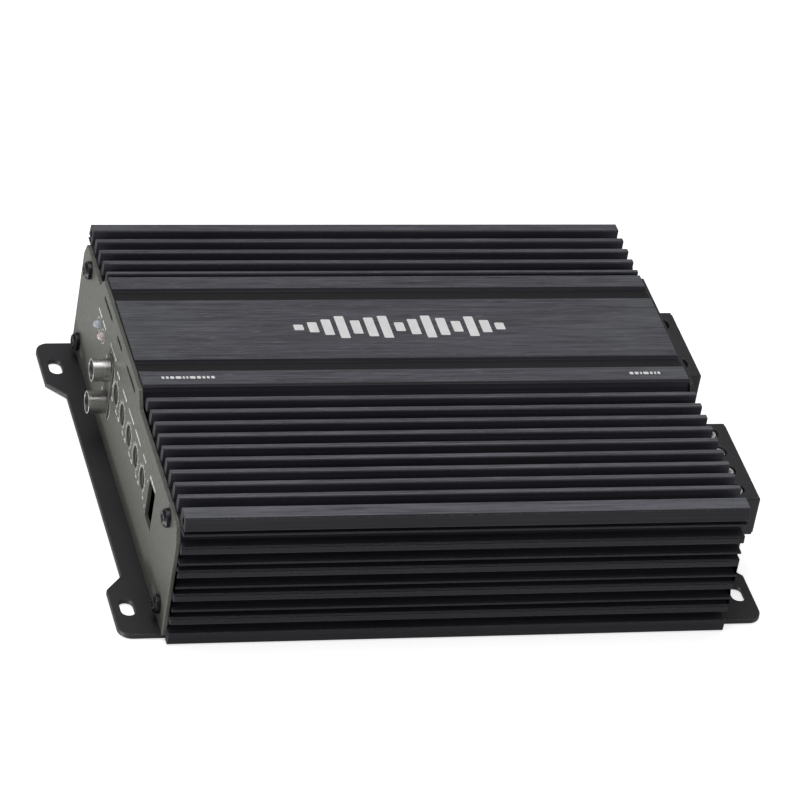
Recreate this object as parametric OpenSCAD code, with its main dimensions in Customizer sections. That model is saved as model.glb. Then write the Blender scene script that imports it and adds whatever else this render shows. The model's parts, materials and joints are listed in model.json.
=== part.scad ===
// Car audio amplifier: finned extruded body on a flat mounting plate, with a
// control panel at the left end and a terminal panel at the right end.
// Millimetres. Origin at the centre of the base, X along the extrusion,
// Y across it towards the back, Z up.

/* [Body] */
// Length of the finned extrusion
body_l = 200; // [190:5:260]
// Height over the fin tips
body_h = 52.8; // [52.4:0.2:54]
// Thickness of one top fin
fin_t = 2.6; // [2:0.1:3]
// Spacing of the top fins
fin_pitch = 6.95; // [6.9:0.01:6.98]
// Depth of the top fins below the tips
fin_depth = 6.6; // [5:0.1:6.8]
// Depth of the two grooves in the raised top land
groove_depth = 1.3; // [0.6:0.1:2]
// Chamfer on each fin tip
fin_chamfer = 0.35; // [0.2:0.05:0.6]
// Thickness of the side fins that are thin
thin_fin_t = 0.9; // [0.7:0.1:1.4]

/* [Mounting plate] */
// Thickness of the mounting plate
plate_t = 2; // [2:0.5:2]
// Half length of the plate between its ears
plate_x = 109.3; // [107:0.1:110]
// Half length of the plate over its ears
ear_x = 115.8; // [115:0.1:120]
// Distance of the mounting slots from the centre, along X
slot_x = 110.4; // [110:0.1:111.5]
// Distance of the mounting slots from the centre, along Y
slot_y = 71; // [69:0.5:74]
// Width of a mounting slot
slot_w = 5; // [4:0.1:5.6]
// End-to-end length of a mounting slot
slot_l = 8.8; // [7:0.1:11]

/* [Control panel] */
// Thickness of both end panels
panel_t = 1.5; // [1:0.1:1.5]
// Spacing of the adjusters
knob_pitch = 12.4; // [12:0.1:12.6]
// Diameter of an adjuster knob
knob_d = 6.6; // [5.5:0.1:6.8]
// Outside diameter of a phono jack shell
phono_d = 8.3; // [8:0.1:8.4]
// Length that a phono jack shell stands out of its housing
phono_l = 6.6; // [5:0.1:8]

/* [Terminals] */
// Spacing of the speaker terminals
spk_pitch = 11.1; // [11:0.1:11.3]
// How far the terminal housings stand out from the body
term_out = 13.3; // [12.5:0.1:14]
// Diameter of a speaker clamp screw
spk_screw_d = 5.9; // [5:0.1:5.9]
// Diameter of a supply clamp screw
pwr_screw_d = 7; // [6:0.1:7]
// Thickness of a fuse body
fuse_t = 5.1; // [4.6:0.1:5.1]

/* [Hidden] */

eps = 0.01;
hl = body_l / 2;
hw = 89.5;                       // half width over the side fins
floor_z = body_h - fin_depth;    // bottom of the top valleys
root_y = 84.9;                   // bottom of the side valleys
wall_y = 81.5;                   // inner face of the side walls
roof_z = 42.2;                   // underside of the roof under the fins
land_z = 49.4;                   // underside of the raised land
bar_z = 48.05;                   // bottom of the corner bars
plate_y = 86;                    // half width of the mounting plate
side_pitch = 9.97;
tc = fin_chamfer;

// screw channels, as [y, z]
top_boss = [74, 42.3];
low_boss = [77.6, 8.5];

// board heights
pcb_z0 = 12;
pcb_z1 = 13.6;
ctl_z0 = 20.5;
ctl_z1 = 22.1;

// control panel positions
knob_y = -8.8;
knob_z = 28.9;
phono_y = 27;
phono_z = [17.7, 31.7];
phono_mid = 24.7;
sock_y = -48.2;
sock_z = 28.25;
led_y = [52, 44.4];
led_z = 34;
px = -hl - panel_t;              // outer face of the control panel
phono_x = px - 0.6;              // front of the phono housing

// terminal panel positions
tx = hl + panel_t;               // outer face of the terminal panel
spk_y = -43.5;
spk_x = hl + 5.4;
pwr_y = 28.6;
pwr_x = hl + 6;
fuse_y = -6.1;
fuse_z = 25.5;
fuse_dy = 5.8;
term_z0 = 24;
term_z1 = 40;

// ---- helpers ----
module rod_x(x0, x1, y, z, d) translate([x0, y, z]) rotate([0, 90, 0]) cylinder(h = x1 - x0, d = d, $fn = 48);
module rod_y(x, y0, y1, z, d) translate([x, y0, z]) rotate([-90, 0, 0]) cylinder(h = y1 - y0, d = d, $fn = 48);
module rod_z(x, y, z0, z1, d) translate([x, y, z0]) cylinder(h = z1 - z0, d = d, $fn = 48);
module block(x0, x1, y0, y1, z0, z1) translate([x0, y0, z0]) cube([x1 - x0, y1 - y0, z1 - z0]);
// a flat (Y, Z) outline given thickness along X
module in_yz(x0, x1) translate([x0, 0, 0]) rotate([90, 0, 90]) linear_extrude(x1 - x0) children();
module rrect(w, h, r) {
    square([w - 2 * r, h], center = true);
    square([w, h - 2 * r], center = true);
    for (sx = [-1, 1], sy = [-1, 1]) translate([sx * (w / 2 - r), sy * (h / 2 - r)]) circle(r = r, $fn = 32);
}

// ---- extrusion section ----
function top_fin(yb, t) = [[yb - t, floor_z], [yb - t, body_h - tc], [yb - t + tc, body_h],
    [yb - tc, body_h], [yb, body_h - tc], [yb, floor_z]];
function flat(list) = [for (a = list) for (b = a) b];
front_fins = flat([for (k = [8:-1:0]) top_fin(-18.97 - fin_pitch * k, fin_t)]);
back_fins = flat([for (k = [3:-1:0]) top_fin(79 - fin_pitch * k, k == 3 ? fin_t - 0.7 : fin_t - 0.1)]);
// half of the corner bar, from its outer foot to the first valley, for Y > 0
function bar(inner) = [[root_y, bar_z - 0.2], [hw - 0.3, bar_z - 0.2], [hw, bar_z + 0.1],
    [hw - 1.0, body_h - 0.5], [hw - 1.45, body_h], [inner + 0.4, body_h], [inner, body_h - 0.4], [inner, floor_z]];
// side profile going up, for Y > 0
function thick_fin(lo) = [[root_y, lo], [hw - 0.35, lo], [hw, lo + 0.35], [hw, lo + 2.3], [hw - 0.4, lo + 2.55],
    [hw, lo + 2.8], [hw, lo + 2.95], [hw - 0.35, lo + 3.3], [root_y, lo + 3.3]];
function thin_fin(hi) = [[root_y, hi - thin_fin_t - 0.2], [hw - 0.2, hi - thin_fin_t], [hw, hi - thin_fin_t + 0.2],
    [hw, hi - 0.2], [hw - 0.2, hi], [root_y, hi + 0.15]];
side_up = concat([[hw - 0.3, 0], [hw, 0.3], [hw, 4.45], [hw - 0.3, 4.75], [root_y, 4.9]],
    thick_fin(8.25), thin_fin(14.75), thick_fin(8.25 + side_pitch), thin_fin(14.75 + 9.9),
    thick_fin(8.25 + 2 * side_pitch), thin_fin(14.75 + 19.8), thick_fin(8.25 + 3 * side_pitch), thin_fin(46.7));
function flip(list) = [for (p = list) [-p[0], p[1]]];
function rev(list) = [for (i = [len(list) - 1:-1:0]) list[i]];
land = [[-13, floor_z], [-12.1, body_h - 0.7], [-11.4, body_h], [-3.7, body_h], [-3.4, body_h - groove_depth],
    [2.95, body_h - groove_depth], [3.25, body_h], [39.5, body_h], [39.8, body_h - groove_depth],
    [46.7, body_h - groove_depth], [47, body_h], [54.2, body_h], [54.6, body_h - 0.4], [54.6, floor_z]];
inner = [[plate_y + 0.3, 0], [plate_y + 0.3, plate_t], [78.5, plate_t], [78.5, 6], [wall_y, 6], [wall_y, roof_z],
    [53.5, roof_z], [51.5, land_z], [-9, land_z], [-11, roof_z],
    [-wall_y, roof_z], [-wall_y, 6], [-78.5, 6], [-78.5, plate_t], [-plate_y - 0.3, plate_t], [-plate_y - 0.3, 0]];
section = concat(flip(side_up), flip(bar(81.8)), front_fins, land, back_fins, rev(bar(83.7)), rev(side_up), inner);

foot_screw_x = [-90, -30, 30, 90];
standoff_x = [-80, 5, 88];
standoff_y = 63;
clamp_x = [-46, -4, 38];
fet_x = [for (k = [0:7]) -53 + 14 * k];

module heatsink_shell() color("#2c2b30") difference() {
    union() {
        in_yz(-hl, hl) polygon(section);
        for (s = [-1, 1]) {
            rod_x(-hl, hl, s * top_boss[0], top_boss[1], 6.8);
            rod_x(-hl, hl, s * low_boss[0], low_boss[1], 6.8);
            translate([-hl, s * 80 - 2, 6.2]) cube([body_l, 4, 4.6]);
        }
    }
    for (s = [-1, 1]) {
        rod_x(-hl - 1, hl + 1, s * top_boss[0], top_boss[1], 2.6);
        rod_x(-hl - 1, hl + 1, s * low_boss[0], low_boss[1], 2.6);
        rod_x(-hl - 1, hl + 1, s * 86.1, 50.1, 2.8);
        for (x = foot_screw_x) rod_z(x, s * 82.5, -1, 5.2, 2.6);
        for (x = clamp_x) rod_y(x, s > 0 ? 81 : -84.3, s > 0 ? 84.3 : -81, 24.5, 2.6);
    }
}

module ear2d(sx, sy) mirror([sx > 0 ? 0 : 1, 0]) mirror([0, sy > 0 ? 0 : 1]) {
    polygon([[plate_x - 10, 53.5], [plate_x, 53.5], [ear_x, 61], [ear_x, plate_y - 5], [ear_x - 5, plate_y - 5],
        [ear_x - 5, plate_y], [plate_x - 10, plate_y]]);
    translate([ear_x - 5, plate_y - 5]) circle(r = 5, $fn = 48);
}

module base_plate() color("#1f1f22") difference() {
    linear_extrude(plate_t) difference() {
        union() {
            square([2 * plate_x, 2 * plate_y - 20], center = true);
            square([2 * plate_x - 8, 2 * plate_y], center = true);
            for (sx = [-1, 1], sy = [-1, 1]) ear2d(sx, sy);
        }
        for (sx = [-1, 1], sy = [-1, 1]) translate([sx * slot_x, sy * slot_y]) {
            square([slot_w, slot_l - slot_w], center = true);
            for (e = [-1, 1]) translate([0, e * (slot_l - slot_w) / 2]) circle(d = slot_w, $fn = 48);
        }
    }
    for (s = [-1, 1]) {
        for (x = foot_screw_x) { rod_z(x, s * 82.5, -1, 3, 2.9); translate([x, s * 82.5, -eps]) cylinder(h = 1.5, d1 = 5.9, d2 = 2.9, $fn = 48); }
        for (x = standoff_x) { rod_z(x, s * standoff_y, -1, 3, 3.2); translate([x, s * standoff_y, -eps]) cylinder(h = 1.5, d1 = 6.2, d2 = 3.2, $fn = 48); }
    }
}

// outline of an end panel that reaches w to each side of the middle
module panel2d(w) polygon([[-w, plate_t + 0.1], [w, plate_t + 0.1], [w, 41.5], [w - 2.8, 46.6], [58.1, 46.6], [53.7, 51.7],
    [-13, 51.7], [-17.9, 46.6], [2.8 - w, 46.6], [-w, 41.5]]);
module vents2d() for (v = [[49.7, 34.5], [25.2, 16.2], [7.4, -8.7]]) {
    translate([v[1] + 0.8, 46.7]) square([v[0] - v[1] - 1.6, 1.6]);
    for (y = [v[0] - 0.8, v[1] + 0.8]) translate([y, 47.5]) circle(d = 1.6, $fn = 24);
}
module panel_holes2d() for (s = [-1, 1]) {
    translate([s * top_boss[0], top_boss[1]]) circle(d = 3.2, $fn = 32);
    translate([s * low_boss[0], low_boss[1]]) circle(d = 3.2, $fn = 32);
}

module control_end_panel() color("#6b6a65") in_yz(px, -hl) difference() {
    panel2d(87);
    vents2d();
    panel_holes2d();
    translate([phono_y, phono_mid]) rrect(9.6, 24.4, 1.2);
    for (k = [-2:2]) translate([knob_y + k * knob_pitch, knob_z]) circle(d = 7.3, $fn = 48);
    translate([sock_y, sock_z]) rrect(9.6, 15.5, 0.5);
    for (y = led_y) translate([y, led_z]) circle(d = 3.4, $fn = 32);
}

module terminal_end_panel() color("#1f1f22") in_yz(hl, tx) difference() {
    panel2d(83.6);
    vents2d();
    panel_holes2d();
    translate([spk_y, 32.5]) rrect(44.2, 13.8, 0.4);
    translate([pwr_y, 32.5]) rrect(39.2, 13.8, 0.4);
    translate([fuse_y, fuse_z + 0.3]) rrect(22.9, 21.6, 0.6);
}

// pan-head screw along X with its head outside; dir is the way the head faces
module pan_screw_x(x, y, z, dir, len) translate([x, y, z]) rotate([0, dir * 90, 0]) difference() {
    union() {
        cylinder(h = 1.5, d = 6.7, $fn = 48);
        translate([0, 0, 1.5 - eps]) cylinder(h = 1 + eps, d1 = 6.7, d2 = 4.8, $fn = 48);
        translate([0, 0, -len]) cylinder(h = len + eps, d = 2.5, $fn = 32);
    }
    for (a = [0, 90]) rotate([0, 0, a]) translate([-1.9, -0.4, 1.1]) cube([3.8, 0.8, 2]);
}
module panel_screws(x, dir) color("#141416") for (s = [-1, 1]) {
    pan_screw_x(x, s * top_boss[0], top_boss[1], dir, 10);
    pan_screw_x(x, s * low_boss[0], low_boss[1], dir, 10);
}
module control_panel_screws() panel_screws(px, -1);
module terminal_panel_screws() panel_screws(tx, 1);

module flat_screw(x, y, d, head, len) translate([x, y, 0]) difference() {
    union() {
        cylinder(h = 1.45, d1 = head, d2 = d, $fn = 48);
        translate([0, 0, 0.5]) cylinder(h = len - 0.5, d = d, $fn = 32);
    }
    for (a = [0, 90]) rotate([0, 0, a]) translate([-1.6, -0.35, -1]) cube([3.2, 0.7, 1.7]);
}
module base_plate_screws() color("#141416") for (s = [-1, 1]) {
    for (x = foot_screw_x) flat_screw(x, s * 82.5, 2.5, 5.5, 5);
    for (x = standoff_x) flat_screw(x, s * standoff_y, 2.8, 5.8, 6.5);
}

module board_standoffs() color("goldenrod") for (x = standoff_x, s = [-1, 1]) difference() {
    translate([x, s * standoff_y, plate_t]) cylinder(h = pcb_z0 - plate_t, d = 6.35, $fn = 6);
    rod_z(x, s * standoff_y, 0, 14, 3);
}
module board_screws() color("silver") for (x = standoff_x, s = [-1, 1]) translate([x, s * standoff_y, pcb_z1]) difference() {
    union() {
        cylinder(h = 1.4, d = 5.6, $fn = 32);
        translate([0, 0, 1.4 - eps]) cylinder(h = 0.8 + eps, d1 = 5.6, d2 = 4, $fn = 32);
        translate([0, 0, -6]) cylinder(h = 6 + eps, d = 2.8, $fn = 32);
    }
    for (a = [0, 90]) rotate([0, 0, a]) translate([-1.6, -0.35, 1]) cube([3.2, 0.7, 2]);
}

module main_board() color("#1f5c36") difference() {
    block(-hl + 3, hl - 3, -79.5, 79.5, pcb_z0, pcb_z1);
    for (x = standoff_x, s = [-1, 1]) rod_z(x, s * standoff_y, 10, 15, 3.2);
}
module control_board() color("#1f5c36") block(-hl + 3, -hl + 30, -40.4, 21, ctl_z0, ctl_z1);
module board_headers() color("#18181a") {
    block(-hl + 24, -hl + 26.5, -36, -10, pcb_z1, ctl_z0);
    block(-hl + 24, -hl + 26.5, -5, 16, pcb_z1, ctl_z0);
}

// ---- phono input ----
module phono_housing() color("#3a3a3c") difference() {
    union() {
        block(-hl + 0.1, -hl + 14, phono_y - 5.5, phono_y + 5.5, pcb_z1, 37.6);
        translate([0, phono_y, phono_mid]) in_yz(phono_x, -hl + 0.1 + eps) rrect(9.2, 24, 1);
    }
    for (z = phono_z) rod_x(phono_x - 0.5, -hl + 0.5, phono_y, z, phono_d - 0.34);
}
module phono_shells() color("silver") for (z = phono_z) difference() {
    union() {
        rod_x(phono_x - phono_l, phono_x, phono_y, z, phono_d);
        rod_x(phono_x - eps, -hl + 0.4, phono_y, z, phono_d - 0.4);
    }
    rod_x(phono_x - 1 - phono_l, -hl + 1, phono_y, z, phono_d - 1.3);
}
module phono_insulators() color("#161618") for (z = phono_z) difference() {
    rod_x(phono_x + 1 - phono_l, -hl + 0.4, phono_y, z, phono_d - 1.36);
    rod_x(phono_x - 1 - phono_l, -hl + 1, phono_y, z, 4.3);
}
module phono_contacts() color("gold") for (z = phono_z) difference() {
    rod_x(phono_x - phono_l + 2.5, -hl + 0.4, phono_y, z, 4.24);
    rod_x(phono_x - phono_l, -hl - 0.8, phono_y, z, 3.4);
}

// ---- adjusters ----
module adjuster_bodies() color("#24507a") for (k = [-2:2]) difference() {
    block(-hl + 3.4, -hl + 11.6, knob_y + k * knob_pitch - 4.8, knob_y + k * knob_pitch + 4.8, ctl_z1, 33.8);
    rod_x(-hl, -hl + 10.2, knob_y + k * knob_pitch, knob_z, 4.1);
}
module knob(k) color("#101012") translate([0, knob_y + k * knob_pitch, knob_z]) difference() {
    union() {
        rod_x(px + 0.6, -hl + 3.2, 0, 0, knob_d);
        rod_x(-hl + 3.2 - eps, -hl + 10, 0, 0, 4);
    }
    // screwdriver slot, and a short pointer groove that reaches the rim
    block(px - 1, px + 1.7, -0.55, 0.55, -2.3, 2.3);
    block(px - 1, px + 1.0, -0.3, 0.3, 2.2, 4);
}
module gain_knob() knob(2);
module low_pass_knob() knob(1);
module subsonic_knob() knob(0);
module bass_boost_knob() knob(-1);
module phase_knob() knob(-2);

// ---- signal socket ----
module signal_socket() color("#121214") difference() {
    block(-hl + 0.1, -hl + 15, sock_y - 6.1, sock_y + 6.1, pcb_z1, 37.6);
    block(-hl - 1, -hl + 11, sock_y - 4.4, sock_y + 4.4, sock_z - 7.3, sock_z + 7.3);
    // key way for the plug's latch
    block(-hl - 1, -hl + 8, sock_y + 4.3, sock_y + 5.2, sock_z - 2, sock_z + 2);
}
module signal_pins() color("gold") for (k = [-1.5:1:1.5]) translate([0, sock_y, sock_z + k * 3.6])
    block(-hl + 4.5, -hl + 11, -0.5, 0.5, -0.5, 0.5);

module led(y) {
    rod_x(px - 0.6, -hl + 3, y, led_z, 3);
    translate([px - 0.6, y, led_z]) sphere(d = 3, $fn = 32);
    rod_x(-hl + 1.8, -hl + 3, y, led_z, 3.8);
    for (s = [-1, 1]) {
        block(-hl + 3 - eps, -hl + 6, y + s * 1.27 - 0.25, y + s * 1.27 + 0.25, led_z - 0.25, led_z + 0.25);
        block(-hl + 5.5, -hl + 6, y + s * 1.27 - 0.25, y + s * 1.27 + 0.25, pcb_z1, led_z + 0.25);
    }
}
module power_led() color("#d7e8ff") led(led_y[0]);
module protect_led() color("#ffe0dc") led(led_y[1]);

// ---- terminal housings ----
// yc: centre, w: outer width, ways: [offset, half width of the barrel, well diameter, wire hole diameter]
module terminal_housing(yc, w, x_end, screw_x, ways) difference() {
    union() {
        translate([0, yc, (term_z0 + term_z1) / 2]) in_yz(tx, x_end - 0.6) rrect(w, term_z1 - term_z0, 0.8);
        translate([0, yc, (term_z0 + term_z1) / 2]) in_yz(tx, x_end) rrect(w - 1.2, term_z1 - term_z0 - 1.2, 0.5);
        translate([0, yc, 32.5]) in_yz(hl - 8, tx + eps) square([w - 2, 13.4], center = true);
    }
    for (v = ways) {
        block(hl - 9, x_end - 1.8, yc + v[0] - v[1] - 0.1, yc + v[0] + v[1] + 0.1, 26.3, v[4] + 0.1);
        block(hl - 6.7, hl - 3.8, yc + v[0] - 1.8, yc + v[0] + 1.8, 25, 26.4);
        rod_z(screw_x, yc + v[0], v[4], 42, v[2]);
        rod_x(x_end - 3, x_end + 1, yc + v[0], v[5], v[3]);
    }
}
// one clamp barrel: wide opening for the wire, threaded hole from above, leg to the board
module barrel(yc, b, x_end, screw_x, open_y, open_z, top, d) difference() {
    union() {
        block(hl - 6.5, x_end - 2.1, yc - b, yc + b, 26.4, top);
        block(hl - 6.5, hl - 4, yc - 1.6, yc + 1.6, pcb_z1, 26.5);
    }
    block(hl + 1.5, x_end, yc - open_y, yc + open_y, 27.8, open_z);
    rod_z(screw_x, yc, open_z - 1, top + 1, d + 0.1);
}
module set_screw(x, y, z0, z1, d) difference() {
    union() {
        rod_z(x, y, z0 + 0.5, z1 - 0.3, d);
        translate([x, y, z0]) cylinder(h = 0.5 + eps, d1 = d - 1.4, d2 = d, $fn = 48);
        translate([x, y, z1 - 0.3 - eps]) cylinder(h = 0.3 + eps, d1 = d, d2 = d - 0.6, $fn = 48);
    }
    translate([x, y, z1 - min(2.6, d * 0.5)]) cylinder(h = 4, d = d * 0.64, $fn = 6);
}

spk_ways = [for (k = [-1.5:1:1.5]) k * spk_pitch];
spk_end = hl + term_out;
pwr_end = hl + term_out;
module speaker_terminal_housing() color("#1a1a1c")
    terminal_housing(spk_y, 45.4, spk_end, spk_x, [for (o = spk_ways) [o, 4.3, 6.7, 7, 37.4, 31.1]]);
module speaker_terminal_barrels() color("silver") for (o = spk_ways)
    barrel(spk_y + o, 4.3, spk_end, spk_x, 3.3, 34.4, 37.4, spk_screw_d);
module speaker_screw(k) color("silver") set_screw(spk_x, spk_y + spk_ways[k], 33.6, 39.5, spk_screw_d);
module speaker_pad(k) color("silver") block(spk_x - 3, spk_x + 3, spk_y + spk_ways[k] - 3.1, spk_y + spk_ways[k] + 3.1, 32.5, 33.55);
module speaker_screw_1() speaker_screw(3);
module speaker_screw_2() speaker_screw(2);
module speaker_screw_3() speaker_screw(1);
module speaker_screw_4() speaker_screw(0);
module speaker_pad_1() speaker_pad(3);
module speaker_pad_2() speaker_pad(2);
module speaker_pad_3() speaker_pad(1);
module speaker_pad_4() speaker_pad(0);

pwr_off = 12.4;
module supply_terminal_housing() color("#1a1a1c")
    terminal_housing(pwr_y, 40.4, pwr_end, pwr_x,
        [[pwr_off, 5.7, 7.8, 8, 37.8, 31.3], [-pwr_off, 5.7, 7.8, 8, 37.8, 31.3], [0, 3.2, 4.8, 4.6, 36.6, 30.2]]);
module supply_terminal_barrels() color("silver") {
    for (s = [-1, 1]) barrel(pwr_y + s * pwr_off, 5.7, pwr_end, pwr_x, 4.4, 34.8, 37.8, pwr_screw_d);
    barrel(pwr_y, 3.2, pwr_end, pwr_x, 2.2, 32.6, 36.6, 3.9);
}
module big_pad(s) color("silver") block(pwr_x - 3.2, pwr_x + 3.2, pwr_y + s * pwr_off - 4.2, pwr_y + s * pwr_off + 4.2, 32.6, 33.85);
module battery_screw() color("#2b2b2e") set_screw(pwr_x, pwr_y + pwr_off, 33.9, 39.0, pwr_screw_d);
module ground_screw() color("#2b2b2e") set_screw(pwr_x, pwr_y - pwr_off, 33.9, 39.0, pwr_screw_d);
module remote_screw() color("silver") set_screw(pwr_x, pwr_y, 31.9, 38.6, 3.9);
module battery_pad() big_pad(1);
module ground_pad() big_pad(-1);
module remote_pad() color("silver") block(pwr_x - 2, pwr_x + 2, pwr_y - 2, pwr_y + 2, 31, 31.85);

// ---- fuses ----
module fuse_holder() color("#1a1a1c") difference() {
    union() {
        translate([0, fuse_y, fuse_z + 0.3]) in_yz(tx, tx + 1.7) rrect(23.9, 22.8, 1);
        translate([0, fuse_y, fuse_z + 0.3]) in_yz(hl - 14, tx + eps) square([22.6, 21.3], center = true);
    }
    for (s = [-1, 1]) {
        block(hl - 2.9, tx + 3, fuse_y + s * fuse_dy - 2.75, fuse_y + s * fuse_dy + 2.75, fuse_z - 9.75, fuse_z + 9.75);
        for (e = [-1, 1]) block(hl - 15, hl - 2, fuse_y + s * fuse_dy - 1.3, fuse_y + s * fuse_dy + 1.3,
            fuse_z + e * 6.9 - 3.1, fuse_z + e * 6.9 + 3.1);
    }
}
module fuse_clips() color("#b87333") for (s = [-1, 1], e = [-1, 1]) translate([0, fuse_y + s * fuse_dy, fuse_z + e * 6.9]) difference() {
    block(hl - 15.5, hl - 4, -1.2, 1.2, -3, 3);
    block(hl - 13, hl, -0.4, 0.4, -4, 4);
}
module fuse_body(s) translate([0, fuse_y + s * fuse_dy, fuse_z]) difference() {
    union() {
        block(hl + 3.6, hl + 8.2, -fuse_t / 2, fuse_t / 2, -9.55, 9.55);
        block(hl - 2.7, hl + 3.6 + eps, -fuse_t / 2 + 0.3, fuse_t / 2 - 0.3, -8.6, 8.6);
    }
    block(hl - 3, hl + 6.4, -0.45, 0.45, -9.6 + 0.6, 9.6 - 0.6);
}
// two blades joined by a fusible link
module fuse_element(s) color("silver") translate([0, fuse_y + s * fuse_dy, fuse_z]) {
    for (e = [-1, 1]) block(hl - 11.7, hl + 5.9, -0.33, 0.33, e * 6.2 - 2.1, e * 6.2 + 2.1);
    block(hl + 3.5, hl + 4.4, -0.33, 0.33, -4.2, -0.4);
    block(hl + 3.5, hl + 5.8, -0.33, 0.33, -0.45, 0.45);
    block(hl + 4.9, hl + 5.8, -0.33, 0.33, 0.4, 4.2);
}
module fuse_a() color("#d98a1f") fuse_body(-1);
module fuse_b() color("#d98a1f") fuse_body(1);
module fuse_a_element() fuse_element(-1);
module fuse_b_element() fuse_element(1);

// ---- power electronics on the main board ----
tr = [5, 20.5, 26.6];
module ring(r0, r1, h) difference() { cylinder(h = h, r = r1, center = true, $fn = 64); cylinder(h = h + 2, r = r0, center = true, $fn = 64); }
module transformer_core() color("#4a4a48") translate(tr) ring(13, 22, 16);
// two windings, each a sleeve round a part of the core
module winding(a0, a) rotate([0, 0, a0]) rotate_extrude(angle = a, $fn = 96) difference() {
    translate([17.5, 0]) square([14.6, 22.4], center = true);
    translate([17.5, 0]) square([9.2, 16.2], center = true);
}
module transformer_windings() color("#b5651d") translate(tr) { winding(-78, 156); winding(102, 156); }
module output_choke() color("#b5651d") translate([34, -46, 24.2]) ring(8, 18, 20);

cap_pos = [for (x = [54.5, 74.5], y = [-0.2, 20.4, 41]) [x, y]];
small_caps = [for (x = [-52, -38], y = [-12, 2]) [x, y]];
module capacitor_cans() color("silver") {
    for (p = cap_pos) rod_z(p[0], p[1], pcb_z1, 45, 17.3);
    for (p = small_caps) rod_z(p[0], p[1], pcb_z1, 33, 9.5);
}
module capacitor_sleeves() color("#20242c") {
    for (p = cap_pos) difference() { rod_z(p[0], p[1], pcb_z1 + 0.6, 44.6, 18); rod_z(p[0], p[1], pcb_z1, 46, 17.34); }
    for (p = small_caps) difference() { rod_z(p[0], p[1], pcb_z1 + 0.6, 32.6, 10); rod_z(p[0], p[1], pcb_z1, 34, 9.54); }
}
// y runs outwards from the middle of the body; s picks the wall
module side(s) mirror([0, s > 0 ? 0 : 1, 0]) children();
module power_transistors() color("#1c1c1e") for (s = [-1, 1]) side(s) for (x = fet_x) difference() {
    union() {
        block(x - 5, x + 5, 76.5, 81, 20, 29.2);
        block(x - 5, x + 5, 79.7, 81, 20, 35.9);
        for (e = [-2.54, 0, 2.54]) block(x + e - 0.4, x + e + 0.4, 78, 78.5, pcb_z1, 20.1);
    }
    rod_y(x, 78, 82, 32.7, 3.6);
}
module thermal_pads() color("#9a9a94") for (s = [-1, 1]) side(s) difference() {
    block(-60, 52, 81, wall_y, 19, 37);
    for (x = clamp_x) rod_y(x, 80, 82, 24.5, 3.4);
}
module clamp_bars() color("#8d8f92") for (s = [-1, 1]) side(s) difference() {
    block(-60, 52, 73.5, 76.5, 21.5, 27.5);
    for (x = clamp_x) rod_y(x, 72, 78, 24.5, 3.2);
}
module clamp_screws() color("#141416") for (s = [-1, 1], x = clamp_x) side(s) difference() {
    union() {
        rod_y(x, 71.2, 73.5, 24.5, 5.6);
        rod_y(x, 73.4, 84, 24.5, 2.5);
    }
    translate([x, 70, 24.5]) rotate([-90, 0, 0]) cylinder(h = 2.6, d = 2.9, $fn = 6);
}

heatsink_shell();
base_plate();
control_end_panel();
terminal_end_panel();
control_panel_screws();
terminal_panel_screws();
base_plate_screws();
board_standoffs();
board_screws();
main_board();
control_board();
board_headers();
phono_housing();
phono_shells();
phono_insulators();
phono_contacts();
adjuster_bodies();
gain_knob();
low_pass_knob();
subsonic_knob();
bass_boost_knob();
phase_knob();
signal_socket();
signal_pins();
power_led();
protect_led();
speaker_terminal_housing();
speaker_terminal_barrels();
speaker_screw_1();
speaker_screw_2();
speaker_screw_3();
speaker_screw_4();
speaker_pad_1();
speaker_pad_2();
speaker_pad_3();
speaker_pad_4();
supply_terminal_housing();
supply_terminal_barrels();
battery_screw();
remote_screw();
ground_screw();
battery_pad();
remote_pad();
ground_pad();
fuse_holder();
fuse_clips();
fuse_a();
fuse_b();
fuse_a_element();
fuse_b_element();
transformer_core();
transformer_windings();
output_choke();
capacitor_cans();
capacitor_sleeves();
power_transistors();
thermal_pads();
clamp_bars();
clamp_screws();
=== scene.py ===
import json
import math
import random

import bmesh
import bpy
from mathutils import Matrix, Vector, Euler
from mathutils.geometry import tessellate_polygon


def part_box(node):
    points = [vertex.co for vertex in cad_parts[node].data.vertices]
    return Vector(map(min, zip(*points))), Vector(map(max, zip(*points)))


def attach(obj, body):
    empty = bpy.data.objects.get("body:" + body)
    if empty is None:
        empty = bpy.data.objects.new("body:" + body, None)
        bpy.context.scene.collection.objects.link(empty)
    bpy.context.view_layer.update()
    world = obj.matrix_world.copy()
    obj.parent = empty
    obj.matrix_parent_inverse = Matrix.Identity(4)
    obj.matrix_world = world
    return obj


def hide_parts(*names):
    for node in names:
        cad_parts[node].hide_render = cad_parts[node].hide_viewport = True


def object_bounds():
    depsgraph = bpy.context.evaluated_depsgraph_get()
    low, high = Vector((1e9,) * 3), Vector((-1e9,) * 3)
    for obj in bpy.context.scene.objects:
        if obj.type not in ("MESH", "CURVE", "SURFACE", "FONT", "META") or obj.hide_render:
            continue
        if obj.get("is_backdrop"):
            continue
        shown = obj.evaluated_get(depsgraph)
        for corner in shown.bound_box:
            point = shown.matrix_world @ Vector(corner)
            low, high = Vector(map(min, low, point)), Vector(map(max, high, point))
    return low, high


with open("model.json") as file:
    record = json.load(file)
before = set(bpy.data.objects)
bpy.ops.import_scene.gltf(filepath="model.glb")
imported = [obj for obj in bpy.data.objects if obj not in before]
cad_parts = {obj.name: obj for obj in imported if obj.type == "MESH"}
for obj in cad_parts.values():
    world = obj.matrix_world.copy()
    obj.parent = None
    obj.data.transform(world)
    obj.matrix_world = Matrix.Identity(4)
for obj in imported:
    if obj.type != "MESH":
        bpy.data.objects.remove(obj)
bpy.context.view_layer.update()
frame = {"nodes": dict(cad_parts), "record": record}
SC = bpy.context.scene
MM = 0.001
rng = random.Random(7)

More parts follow.
